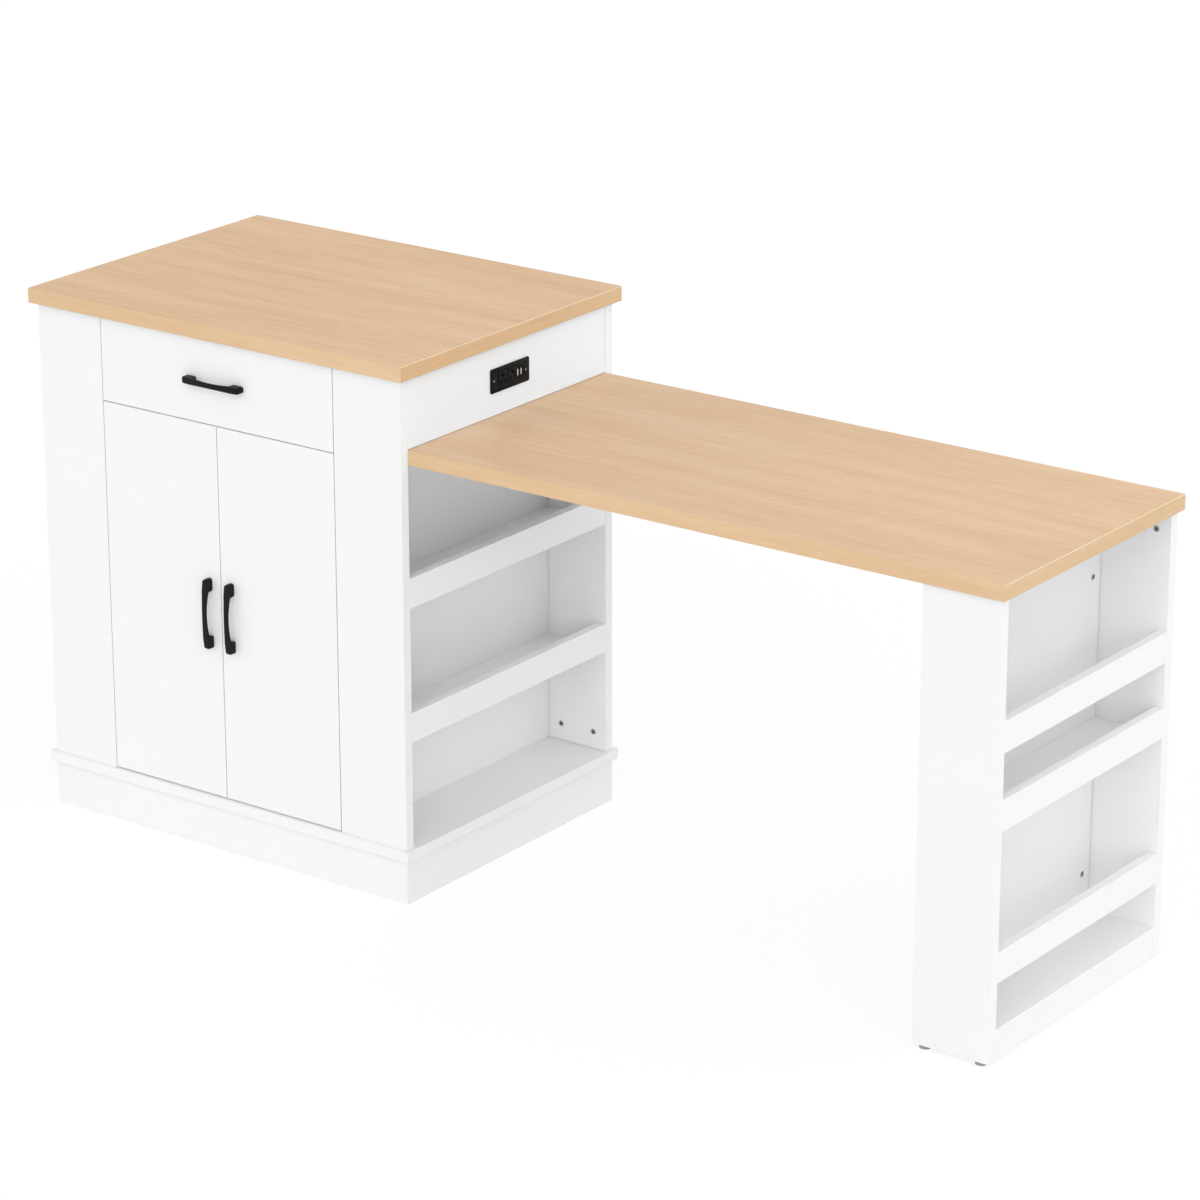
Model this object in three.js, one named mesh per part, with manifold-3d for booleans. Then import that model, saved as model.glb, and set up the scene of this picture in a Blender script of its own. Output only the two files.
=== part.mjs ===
// Kitchen island unit: a white cupboard block with a drawer, two doors and open side bays under an oak top,
// and a lower oak table that leaves its right side and ends on a panelled leg with shelves.
// Millimetres, +Z up. The unit is built from its left front bottom corner (worktop edges at x = 0 and y = 0,
// floor at z = 0) and the root group then moves that corner so the origin is at the bottom centre.
import * as THREE from "three";
import { mergeVertices } from "three/addons/utils/BufferGeometryUtils.js";
import Module from "manifold-3d";

// ---- Driving sizes: boards
const board = 18; // outer boards, doors and the drawer front
const thinBoard = 15; // inner walls, lips and rails
const shelfBoard = 9; // the narrow shelves of the bays and the leg
const topThickness = 25; // both oak tops

// ---- Driving sizes: the cupboard block
const overallHeight = 900;
const worktopLength = 774; // along x
const worktopDepth = 578; // along y
const worktopOverhang = 11.4; // past the carcass on all four sides
const plinthHeight = 75.3;
const baseReach = 7.4; // the base panel stands out this far past the carcass
const bayDepth = 118.6; // from a carcass side to the inner wall
const bayShelfRises = [178.5, 403.5]; // undersides of the bay shelves above the base panel
const lipHeight = 50; // lips of the bay shelves and rails of the leg
const frontGap = 1.7; // joint lines round the drawer front and the doors
const drawerZone = 142.9; // from the worktop's underside to the joint line above the doors
const cupboardShelfRise = 311; // underside of the cupboard shelf above the base panel
const cupboardShelfSetback = 41; // behind the back faces of the doors

// ---- Driving sizes: the table and its leg
const tableDrop = 141.9; // from the worktop's upper face down to the tabletop's
const tableReach = 1079.8; // past the carcass side
const legWidth = 133.6; // along x
const legInset = 7.9; // inside the table's edge on three sides
const legLift = 5.3; // height of the glides
const glideRadius = 9.5;
const glideEdge = 1.2; // rounding of a glide's lower edge
const glideInset = 18; // from a leg panel's upright edge to a glide's centre
const legShelfTop = 56.1; // top of the bottom shelf
const legRailHeights = { low: 130, mid: 370, high: 493 }; // undersides of the three rails
const kickRecess = 2; // the kick board stands back from the shelf above it

// ---- Driving sizes: drawer box and slides
const drawerLength = 450; // from the back of its front to the end of its sides
const drawerBoard = 12;
const drawerSideHeight = 110;
const drawerSideLift = 14; // sides above the lower edge of the drawer front
const drawerBottomThickness = 5;
const drawerBottomLift = 10; // above the lower edge of the sides
const grooveDepth = 5;
const grooveClearance = 0.3;
const slideWidth = 12.9; // space for one slide between inner wall and drawer side
const slideHeight = 35;
const slideSheet = 1.5;
const slidePlay = 0.5; // running gap of the balls between the two members
const slideLength = 440;
const slideSetback = 4; // behind the drawer front
const slideRise = 43; // middle of the slides above the lower edge of the sides

// ---- Driving sizes: pulls
const pullLength = 119.5;
const pullReach = 18;
const pullFootLength = 20.5;
const pullFootWidth = 10.8;
const pullBarWidth = 8.6;
const pullBarThickness = 3.8; // at its middle
const pullBarEndThickness = 3.9; // where it meets the feet
const pullShoulder = 14.1; // height at which the feet turn into the arch
const pullShoulderRun = 6.4; // length of the curve from a foot's outer end onto the arch
const pullShoulderFall = 5.6; // height of that curve
const pullEndRadius = 4; // corners of the feet, seen from the front
const pullFootLean = 1.2; // a foot's inner face leans this far towards the middle
const pullThroat = 2.6; // rounding between a foot's inner face and the underside of the arch
const pullWaistShare = 0.7; // how far along the half bar its sides aim before they run straight
const doorPullInset = 23; // from the doors' joint line to a pull's centre line
const doorPullDrop = 258.9; // from the top of a door to the top of its pull

// ---- Driving sizes: cup hinges
const hingeEndDistance = 90; // from a door's lower or upper edge to a hinge's centre
const cupRadius = 17.2;
const cupDepth = 14;
const cupWall = 1.2;
const cupEdge = 22.5; // from the door's edge to the cup's centre
const cupClearance = 0.3;
const pivotEdge = 20; // from the door's edge to the pivot
const pivotDepth = 8; // from the door's front face to the pivot
const pivotPinRadius = 1;
const pivotClearance = 0.3;
const armEyeRadius = 2.3;
const armSheet = 2.4;
const armHeight = 10;
const armLeadAngle = 33; // degrees from the door's face to the part of the arm inside the cup
const armLeadLength = 22.5; // from the pivot to the bend behind the door
const armBendDepth = 33.5; // from the door's front face to the arm's cross piece
const armBendRound = 6;
const armPlateLength = 52;
const armPlateHeight = 40;
const armPlateThickness = 3;
const armBlockWidth = 9; // height of the arm above its plate

// ---- Driving sizes: power unit
const plateLength = 100;
const plateHeight = 40;
const plateThickness = 2.5;
const plateCorner = 3;
const housingLength = 88;
const housingHeight = 34;
const housingDepth = 40;
const housingClearance = 0.3;
const socketPlaces = [-20.3, 5.1]; // along y from the plate's centre
const usbPlaces = [20.9, 29.6];
const bladeSpacing = 12.7;
const bladeSlot = { width: 2.2, height: 7 };
const bladeDrop = 5;
const earthHoleRadius = 2.4;
const earthRise = 5.2;
const usbSlot = { width: 5, height: 12.5 };
const socketDepth = 12; // depth of the contact chambers behind the plate
const inletRadius = 6;
const inletBore = 3.5;
const inletLength = 10;
const cordHoleRadius = 12.5; // hole in the back panel for the power unit's cord
const cordHoleRise = 42; // above the table

// ---- Working allowances
const through = 1; // a cutter reaches this far past the faces it cuts
const weld = 1; // two shapes joined into one solid overlap by this much
const pullSteps = { side: 12, front: 8 }; // straight lengths in each curve of a pull's two outlines
const holeSteps = 8; // straight lengths in each curve of the plate and its sockets
const sides = { cup: 40, cordHole: 32, glide: 24, inlet: 24, eye: 16, bore: 16, pin: 12 }; // flats round each circle

// ---- Places worked out from the sizes
const tableHeight = overallHeight - tableDrop;
const carcass = {
  left: worktopOverhang,
  right: worktopLength - worktopOverhang,
  front: worktopOverhang,
  back: worktopDepth - worktopOverhang,
  floor: plinthHeight + board,
  top: overallHeight - topThickness,
};
const inside = { front: carcass.front + board, back: carcass.back - board };
const opening = {
  left: carcass.left + bayDepth + thinBoard,
  right: carcass.right - bayDepth - thinBoard,
};
const middle = (opening.left + opening.right) / 2;
const doorTop = carcass.top - drawerZone; // middle of the joint line between the drawer front and the doors
const table = {
  end: carcass.right + tableReach,
  top: tableHeight,
  under: tableHeight - topThickness,
};
const leg = {
  right: table.end - legInset,
  left: table.end - legInset - legWidth,
  front: inside.front + legInset,
  back: inside.back - legInset,
};
const legInner = leg.left + thinBoard; // visible face of the leg's inner panel
const drawerLow = doorTop + frontGap / 2;
const door = {
  bottom: carcass.floor + frontGap,
  top: doorTop - frontGap / 2,
  width: (opening.right - opening.left - 3 * frontGap) / 2,
};

const oak = new THREE.MeshStandardMaterial({ color: 0xddbc98, roughness: 0.55, metalness: 0 });
const white = new THREE.MeshStandardMaterial({ color: 0xf2f2f2, roughness: 0.5, metalness: 0 });
const black = new THREE.MeshStandardMaterial({ color: 0x1c1c1d, roughness: 0.5, metalness: 0.4 });
const blackPlastic = new THREE.MeshStandardMaterial({ color: 0x171717, roughness: 0.4, metalness: 0 });
const greyPlastic = new THREE.MeshStandardMaterial({ color: 0x9a9a98, roughness: 0.6, metalness: 0 });
const steel = new THREE.MeshStandardMaterial({ color: 0xb8babd, roughness: 0.35, metalness: 0.9 });

const wasm = await Module();
wasm.setup();

// A closed geometry as a solid for joining and cutting.
function solidOf(geometry) {
  const bare = new THREE.BufferGeometry();
  bare.setAttribute("position", geometry.getAttribute("position"));
  if (geometry.index) bare.setIndex(geometry.index);
  const merged = mergeVertices(bare, 1e-4);
  const mesh = new wasm.Mesh({
    numProp: 3,
    vertProperties: merged.attributes.position.array,
    triVerts: new Uint32Array(merged.index.array),
  });
  return new wasm.Manifold(mesh);
}

function geometryOf(solid) {
  const mesh = solid.getMesh();
  const geometry = new THREE.BufferGeometry();
  geometry.setAttribute("position", new THREE.BufferAttribute(mesh.vertProperties, 3));
  geometry.setIndex(new THREE.BufferAttribute(mesh.triVerts, 1));
  return geometry;
}

function piece(name, geometry, material) {
  const mesh = new THREE.Mesh(geometry, material.clone());
  mesh.name = name;
  return mesh;
}

// A box between two values on each axis. Its corners hold those very values, so neighbours meet exactly.
function block(xs, ys, zs) {
  const geometry = new THREE.BoxGeometry(1, 1, 1);
  const corners = geometry.getAttribute("position");
  const low = (pair) => Math.min(...pair);
  const high = (pair) => Math.max(...pair);
  for (let i = 0; i < corners.count; i++)
    corners.setXYZ(
      i,
      corners.getX(i) < 0 ? low(xs) : high(xs),
      corners.getY(i) < 0 ? low(ys) : high(ys),
      corners.getZ(i) < 0 ? low(zs) : high(zs),
    );
  return geometry;
}

function boardPiece(name, xs, ys, zs, material = white) {
  return piece(name, block(xs, ys, zs), material);
}

// A shape with its curves as straight steps and no two neighbouring points alike.
function faceted(shape, steps) {
  const points = shape.getPoints(steps);
  const apart = (point, i) => point.distanceTo(points[(i + 1) % points.length]) > 1e-3;
  return new THREE.Shape(points.filter(apart));
}

// Turns a shape drawn in (u, v) and extruded by depth so that u, v and the depth lie along three given axes.
function extrudeAlong(shape, depth, uAxis, vAxis, depthAxis, steps) {
  const outline = faceted(shape, steps);
  outline.holes = shape.holes.map((hole) => faceted(hole, steps));
  const geometry = new THREE.ExtrudeGeometry(outline, { depth, bevelEnabled: false });
  return geometry.applyMatrix4(new THREE.Matrix4().makeBasis(uAxis, vAxis, depthAxis));
}

const alongX = new THREE.Vector3(1, 0, 0);
const alongY = new THREE.Vector3(0, 1, 0);
const alongZ = new THREE.Vector3(0, 0, 1);

function rectangle(width, height, centreU = 0, centreV = 0) {
  const shape = new THREE.Shape();
  shape.moveTo(centreU - width / 2, centreV - height / 2);
  shape.lineTo(centreU + width / 2, centreV - height / 2);
  shape.lineTo(centreU + width / 2, centreV + height / 2);
  shape.lineTo(centreU - width / 2, centreV + height / 2);
  shape.closePath();
  return shape;
}

function roundedRectangle(width, height, radius) {
  const [u, v] = [width / 2, height / 2];
  const shape = new THREE.Shape();
  shape.moveTo(-u + radius, -v);
  shape.lineTo(u - radius, -v);
  shape.absarc(u - radius, -v + radius, radius, -Math.PI / 2, 0);
  shape.lineTo(u, v - radius);
  shape.absarc(u - radius, v - radius, radius, 0, Math.PI / 2);
  shape.lineTo(-u + radius, v);
  shape.absarc(-u + radius, v - radius, radius, Math.PI / 2, Math.PI);
  shape.lineTo(-u, -v + radius);
  shape.absarc(-u + radius, -v + radius, radius, Math.PI, (3 * Math.PI) / 2);
  return shape;
}

function circle(centreU, centreV, radius) {
  return new THREE.Shape().absarc(centreU, centreV, radius, 0, 2 * Math.PI);
}

// ---- Plinth, base panel and carcass boards
function plinth() {
  const group = new THREE.Group();
  const height = [0, plinthHeight];
  const width = [carcass.left, carcass.right];
  const between = [inside.front, inside.back];
  group.add(
    boardPiece("plinth_front", width, [carcass.front, inside.front], height),
    boardPiece("plinth_back", width, [inside.back, carcass.back], height),
    boardPiece("plinth_left", [carcass.left, carcass.left + board], between, height),
    boardPiece("plinth_right", [carcass.right - board, carcass.right], between, height),
    boardPiece(
      "base_panel",
      [carcass.left - baseReach, carcass.right + baseReach],
      [carcass.front - baseReach, carcass.back + baseReach],
      [plinthHeight, carcass.floor],
    ),
  );
  return group;
}

// The back panel has one round hole, behind the power unit, for its cord.
function backPanel() {
  const panel = block(
    [carcass.left, carcass.right],
    [inside.back, carcass.back],
    [carcass.floor, carcass.top],
  );
  const hole = new THREE.CylinderGeometry(
    cordHoleRadius,
    cordHoleRadius,
    board + 2 * through,
    sides.cordHole,
  );
  const holeX = (opening.right + thinBoard + carcass.right - board) / 2;
  hole.translate(holeX, carcass.back - board / 2, tableHeight + cordHoleRise);
  return piece("back_panel", geometryOf(solidOf(panel).subtract(solidOf(hole))), white);
}

function carcassBoards() {
  const group = new THREE.Group();
  const height = [carcass.floor, carcass.top];
  const between = [inside.front, inside.back];
  group.add(
    boardPiece("front_board_left", [carcass.left, opening.left], [carcass.front, inside.front], height),
    boardPiece("front_board_right", [opening.right, carcass.right], [carcass.front, inside.front], height),
    boardPiece("inner_wall_left", [opening.left - thinBoard, opening.left], between, height),
    boardPiece("inner_wall_right", [opening.right, opening.right + thinBoard], between, height),
    boardPiece(
      "header_left",
      [carcass.left, carcass.left + board],
      between,
      [tableHeight, carcass.top],
    ),
    boardPiece(
      "cupboard_shelf",
      [opening.left, opening.right],
      [inside.front + cupboardShelfSetback, inside.back],
      [carcass.floor + cupboardShelfRise, carcass.floor + cupboardShelfRise + thinBoard],
    ),
    backPanel(),
  );
  return group;
}

// A bay's shelves each have a lip on their open side, flush with the carcass side.
function bay(side) {
  const group = new THREE.Group();
  const onLeft = side === "left";
  const wall = onLeft ? opening.left - thinBoard : opening.right + thinBoard;
  const face = onLeft ? carcass.left : carcass.right;
  const lipInner = onLeft ? face + thinBoard : face - thinBoard;
  const between = [inside.front, inside.back];
  bayShelfRises.forEach((rise, i) => {
    const under = carcass.floor + rise;
    const shelfX = [wall, lipInner].sort((a, b) => a - b);
    const lipX = [lipInner, face].sort((a, b) => a - b);
    const level = i === 0 ? "lower" : "upper";
    group.add(
      boardPiece(`bay_${side}_${level}_shelf`, shelfX, between, [under, under + shelfBoard]),
      boardPiece(`bay_${side}_${level}_lip`, lipX, between, [under, under + lipHeight]),
    );
  });
  return group;
}

// The tabletop starts at the right bay's inner wall, so it also closes the bay's top and carries the header.
function tops() {
  const group = new THREE.Group();
  group.add(
    boardPiece("worktop", [0, worktopLength], [0, worktopDepth], [carcass.top, overallHeight], oak),
    boardPiece(
      "tabletop",
      [opening.right + thinBoard, table.end],
      [inside.front, inside.back],
      [table.under, table.top],
      oak,
    ),
  );
  return group;
}

// ---- The leg under the table's far end, open towards +x
function legUnit() {
  const group = new THREE.Group();
  const height = [legLift, table.under];
  const between = [leg.front + board, leg.back - board];
  const railX = [leg.right - thinBoard, leg.right];
  group.add(
    boardPiece("leg_front_panel", [leg.left, leg.right], [leg.front, between[0]], height),
    boardPiece("leg_back_panel", [leg.left, leg.right], [between[1], leg.back], height),
    boardPiece("leg_inner_panel", [leg.left, legInner], between, height),
    boardPiece("leg_bottom_shelf", [legInner, leg.right], between, [legShelfTop - board, legShelfTop]),
    boardPiece(
      "leg_kick_board",
      [leg.right - kickRecess - thinBoard, leg.right - kickRecess],
      between,
      [legLift, legShelfTop - board],
    ),
    boardPiece(
      "leg_mid_shelf",
      [legInner, leg.right - thinBoard],
      between,
      [legRailHeights.mid, legRailHeights.mid + shelfBoard],
    ),
  );
  for (const [level, under] of Object.entries(legRailHeights))
    group.add(boardPiece(`leg_rail_${level}`, railX, between, [under, under + lipHeight]));
  for (const [end, y] of [["front", leg.front + board / 2], ["back", leg.back - board / 2]])
    for (const [side, x] of [["left", leg.left + glideInset], ["right", leg.right - glideInset]])
      group.add(glide(`glide_${end}_${side}`, x, y));
  return group;
}

// A plastic glide: a low round foot with a rounded lower edge.
function glide(name, x, y) {
  const rise = glideEdge * (1 - Math.SQRT1_2); // of the rounding's middle point
  const profile = [
    new THREE.Vector2(0, 0),
    new THREE.Vector2(glideRadius - glideEdge, 0),
    new THREE.Vector2(glideRadius - rise, rise),
    new THREE.Vector2(glideRadius, glideEdge),
    new THREE.Vector2(glideRadius, legLift),
    new THREE.Vector2(0, legLift),
  ];
  const mesh = piece(name, new THREE.LatheGeometry(profile, sides.glide).rotateX(Math.PI / 2), greyPlastic);
  mesh.position.set(x, y, 0);
  return mesh;
}

// ---- Pulls: an arched bar on two feet, drawn lying along x and standing out along z
function pullGeometry() {
  const half = pullLength / 2;
  const footInner = half - pullFootLength;
  const archEnd = half - pullShoulderRun;
  const side = new THREE.Shape();
  side.moveTo(-half, 0);
  side.lineTo(-half, pullShoulder - pullShoulderFall);
  side.quadraticCurveTo(-half, pullShoulder, -archEnd, pullShoulder);
  side.quadraticCurveTo(0, 2 * pullReach - pullShoulder, archEnd, pullShoulder);
  side.quadraticCurveTo(half, pullShoulder, half, pullShoulder - pullShoulderFall);
  side.lineTo(half, 0);
  side.lineTo(footInner, 0);
  const underMid = pullReach - pullBarThickness;
  const underEnd = pullShoulder - pullBarEndThickness;
  const throatEnd = footInner - pullFootLean;
  const archStart = throatEnd - pullThroat;
  side.lineTo(throatEnd, underEnd - pullThroat);
  side.quadraticCurveTo(throatEnd, underEnd, archStart, underEnd);
  side.quadraticCurveTo(0, 2 * underMid - underEnd, -archStart, underEnd);
  side.quadraticCurveTo(-throatEnd, underEnd, -throatEnd, underEnd - pullThroat);
  side.lineTo(-footInner, 0);
  side.closePath();

  const foot = pullFootWidth / 2;
  const bar = pullBarWidth / 2;
  const waist = footInner * pullWaistShare;
  const front = new THREE.Shape();
  front.moveTo(-half + pullEndRadius, -foot);
  front.lineTo(-footInner, -foot);
  front.quadraticCurveTo(-waist, -bar, 0, -bar);
  front.quadraticCurveTo(waist, -bar, footInner, -foot);
  front.lineTo(half - pullEndRadius, -foot);
  front.absarc(half - pullEndRadius, -foot + pullEndRadius, pullEndRadius, -Math.PI / 2, 0);
  front.absarc(half - pullEndRadius, foot - pullEndRadius, pullEndRadius, 0, Math.PI / 2);
  front.lineTo(footInner, foot);
  front.quadraticCurveTo(waist, bar, 0, bar);
  front.quadraticCurveTo(-waist, bar, -footInner, foot);
  front.lineTo(-half + pullEndRadius, foot);
  front.absarc(-half + pullEndRadius, foot - pullEndRadius, pullEndRadius, Math.PI / 2, Math.PI);
  front.absarc(-half + pullEndRadius, -foot + pullEndRadius, pullEndRadius, Math.PI, (3 * Math.PI) / 2);

  const sideDepth = pullFootWidth + 2 * through;
  const sideCut = extrudeAlong(side, sideDepth, alongX, alongZ, alongY.clone().negate(), pullSteps.side);
  sideCut.translate(0, sideDepth / 2, 0);
  const frontCut = extrudeAlong(front, pullReach + 2 * through, alongX, alongY, alongZ, pullSteps.front);
  frontCut.translate(0, 0, -through);
  return geometryOf(solidOf(sideCut).intersect(solidOf(frontCut)));
}

const pullShape = pullGeometry();

function pull(name, x, z, upright) {
  const mesh = piece(name, pullShape.clone(), black);
  if (upright) mesh.geometry.rotateZ(Math.PI / 2);
  mesh.geometry.rotateX(Math.PI / 2);
  mesh.geometry.translate(x, carcass.front, z);
  return mesh;
}

// ---- Drawer
// A side stands between the drawer front and the end of the box, with a groove that holds the bottom.
function drawerSide(name, outer, inward) {
  const sideLow = drawerLow + drawerSideLift;
  const length = [inside.front, inside.front + drawerLength];
  const inner = outer + inward * drawerBoard;
  const grooveLow = sideLow + drawerBottomLift - grooveClearance;
  const grooveHigh = sideLow + drawerBottomLift + drawerBottomThickness + grooveClearance;
  const side = block([outer, inner], length, [sideLow, sideLow + drawerSideHeight]);
  const groove = block(
    [inner - inward * grooveDepth, inner + inward * through],
    [length[0] - through, length[1] + through],
    [grooveLow, grooveHigh],
  );
  return piece(name, geometryOf(solidOf(side).subtract(solidOf(groove))), white);
}

function drawer() {
  const group = new THREE.Group();
  const boxLeft = opening.left + slideWidth;
  const boxRight = opening.right - slideWidth;
  const backEnd = inside.front + drawerLength;
  const sideLow = drawerLow + drawerSideLift;
  const bottomLow = sideLow + drawerBottomLift;
  const tuck = grooveDepth - grooveClearance;
  group.add(
    boardPiece(
      "drawer_front",
      [opening.left + frontGap, opening.right - frontGap],
      [carcass.front, inside.front],
      [drawerLow, carcass.top - frontGap],
    ),
    drawerSide("drawer_side_left", boxLeft, 1),
    drawerSide("drawer_side_right", boxRight, -1),
    boardPiece(
      "drawer_back",
      [boxLeft + drawerBoard, boxRight - drawerBoard],
      [backEnd - drawerBoard, backEnd],
      [sideLow, sideLow + drawerSideHeight],
    ),
    boardPiece(
      "drawer_bottom",
      [boxLeft + drawerBoard - tuck, boxRight - drawerBoard + tuck],
      [inside.front, backEnd - drawerBoard],
      [bottomLow, bottomLow + drawerBottomThickness],
    ),
    pull("drawer_pull", middle, (drawerLow + carcass.top - frontGap) / 2, false),
  );
  return group;
}

// A slide member: a web with a flange along its upper and lower edge, between two distances from the wall.
function slideMember(name, wall, inward, webReach, flangeReach, height) {
  const start = inside.front + slideSetback;
  const length = [start, start + slideLength];
  const centre = drawerLow + drawerSideLift + slideRise;
  const half = height / 2;
  const at = (reach) => reach.map((distance) => wall + inward * distance);
  const web = block(at(webReach), length, [centre - half, centre + half]);
  const lower = block(at(flangeReach), length, [centre - half, centre - half + slideSheet]);
  const upper = block(at(flangeReach), length, [centre + half - slideSheet, centre + half]);
  return piece(name, geometryOf(solidOf(web).add(solidOf(lower)).add(solidOf(upper))), steel);
}

// Each slide has a fixed channel on the inner wall and a runner on the drawer side that nests in it.
function slides() {
  const group = new THREE.Group();
  const step = slideSheet + slidePlay;
  const runnerHeight = slideHeight - 2 * step;
  for (const [side, wall, inward] of [["left", opening.left, 1], ["right", opening.right, -1]])
    group.add(
      slideMember(
        `slide_channel_${side}`,
        wall,
        inward,
        [0, slideSheet],
        [0, slideWidth - step],
        slideHeight,
      ),
      slideMember(
        `slide_runner_${side}`,
        wall,
        inward,
        [slideWidth - slideSheet, slideWidth],
        [step, slideWidth],
        runnerHeight,
      ),
    );
  return group;
}

// ---- Doors and their cup hinges. Both doors are drawn from their own inner wall, with x counted inwards.
const hingeHeights = [
  ["lower", door.bottom + hingeEndDistance],
  ["upper", door.top - hingeEndDistance],
];

function doorPanel(name, wall, inward) {
  const edge = wall + inward * frontGap;
  let solid = solidOf(
    block([edge, edge + inward * door.width], [carcass.front, inside.front], [door.bottom, door.top]),
  );
  const radius = cupRadius + cupClearance;
  const depth = cupDepth + cupClearance;
  for (const [, z] of hingeHeights) {
    const bore = new THREE.CylinderGeometry(radius, radius, depth + through, sides.cup);
    bore.translate(edge + inward * cupEdge, inside.front - (depth - through) / 2, z);
    solid = solid.subtract(solidOf(bore));
  }
  return piece(name, geometryOf(solid), white);
}

// A cup: an open round shell in the door's bore, with the pivot pin across it.
function hingeCup(name, wall, inward, z) {
  const x = wall + inward * (frontGap + cupEdge);
  const inner = cupRadius - cupWall;
  const shell = [
    new THREE.Vector2(0, -cupDepth),
    new THREE.Vector2(cupRadius, -cupDepth),
    new THREE.Vector2(cupRadius, 0),
    new THREE.Vector2(inner, 0),
    new THREE.Vector2(inner, -cupDepth + cupWall),
    new THREE.Vector2(0, -cupDepth + cupWall),
  ];
  const cup = new THREE.LatheGeometry(shell, sides.cup).translate(x, inside.front, z);
  const pinOffset = cupEdge - pivotEdge;
  const pinReach = Math.sqrt(inner * inner - pinOffset * pinOffset) + cupWall / 2;
  const pin = new THREE.CylinderGeometry(pivotPinRadius, pivotPinRadius, 2 * pinReach, sides.pin);
  pin.rotateX(Math.PI / 2);
  pin.translate(x - inward * pinOffset, carcass.front + pivotDepth, z);
  return piece(name, geometryOf(solidOf(cup).add(solidOf(pin))), steel);
}

// An arm: a bent strap from the pivot, out of the cup, behind the door and back to a block on the inner wall.
function hingeArm(name, wall, inward, z) {
  const pivot = new THREE.Vector2(wall + inward * (frontGap + pivotEdge), carcass.front + pivotDepth);
  const lead = (armLeadAngle * Math.PI) / 180;
  const crossY = carcass.front + armBendDepth;
  const bendX = pivot.x + inward * armLeadLength * Math.cos(lead);
  const bendY = pivot.y + armLeadLength * Math.sin(lead);
  const plateX = wall + inward * armPlateThickness;
  const blockX = plateX + inward * armBlockWidth;
  const route = [
    pivot,
    new THREE.Vector2(bendX, bendY),
    new THREE.Vector2(bendX, crossY - armBendRound),
    new THREE.Vector2(bendX - inward * armBendRound, crossY),
    new THREE.Vector2(blockX - inward * armSheet, crossY),
  ];
  const eye = new THREE.CylinderGeometry(armEyeRadius, armEyeRadius, armHeight, sides.eye);
  eye.rotateX(Math.PI / 2).translate(pivot.x, pivot.y, 0);
  const armStart = crossY - armSheet / 2;
  const armEnd = armStart + armPlateLength;
  const armBlock = block(
    [wall + (inward * armPlateThickness) / 2, blockX],
    [armStart, armEnd],
    [-armHeight / 2, armHeight / 2],
  );
  const plate = block(
    [wall, plateX],
    [armEnd - armPlateHeight, armEnd],
    [-armPlateHeight / 2, armPlateHeight / 2],
  );
  const holeRadius = pivotPinRadius + pivotClearance;
  const hole = new THREE.CylinderGeometry(holeRadius, holeRadius, armHeight + 2 * through, sides.pin);
  hole.rotateX(Math.PI / 2).translate(pivot.x, pivot.y, 0);
  const solid = solidOf(strap(route, armSheet, armHeight))
    .add(solidOf(eye))
    .add(solidOf(armBlock))
    .add(solidOf(plate))
    .subtract(solidOf(hole));
  return piece(name, geometryOf(solid).translate(0, 0, z), steel);
}

// A flat strap of one thickness along a route in x and y, as one solid of joined straight lengths.
function strap(route, thickness, height) {
  let joined = null;
  for (let i = 1; i < route.length; i++) {
    const [from, to] = [route[i - 1], route[i]];
    const span = new THREE.Vector2().subVectors(to, from);
    const length = new THREE.BoxGeometry(span.length(), thickness, height);
    length.translate(span.length() / 2, 0, 0);
    length.rotateZ(span.angle());
    length.translate(from.x, from.y, 0);
    const corner = new THREE.CylinderGeometry(thickness / 2, thickness / 2, height, sides.pin);
    corner.rotateX(Math.PI / 2);
    corner.translate(to.x, to.y, 0);
    const part = solidOf(length).add(solidOf(corner));
    joined = joined ? joined.add(part) : part;
  }
  return geometryOf(joined);
}

function doors() {
  const group = new THREE.Group();
  const pullMiddle = door.top - doorPullDrop - pullLength / 2;
  for (const [side, wall, inward] of [["left", opening.left, 1], ["right", opening.right, -1]]) {
    group.add(
      doorPanel(`door_${side}`, wall, inward),
      pull(`door_pull_${side}`, middle - inward * doorPullInset, pullMiddle, true),
    );
    for (const [level, z] of hingeHeights)
      group.add(
        hingeCup(`hinge_cup_${side}_${level}`, wall, inward, z),
        hingeArm(`hinge_arm_${side}_${level}`, wall, inward, z),
      );
  }
  return group;
}

// ---- Power unit in the header of the right bay
function socketShapes() {
  const shapes = [];
  for (const u of socketPlaces) {
    for (const sign of [-1, 1])
      shapes.push(rectangle(bladeSlot.width, bladeSlot.height, u + (sign * bladeSpacing) / 2, -bladeDrop));
    shapes.push(circle(u, earthRise, earthHoleRadius));
  }
  for (const u of usbPlaces) shapes.push(rectangle(usbSlot.width, usbSlot.height, u, 0));
  return shapes;
}

// A solid that faces +x, with the socket holes cut to a depth from its face.
function withSockets(solid, face, depth) {
  let cut = solid;
  for (const hole of socketShapes()) {
    const cutter = extrudeAlong(hole, depth + through, alongY, alongZ, alongX, holeSteps);
    cutter.translate(face - depth, 0, 0);
    cut = cut.subtract(solidOf(cutter));
  }
  return cut;
}

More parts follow.
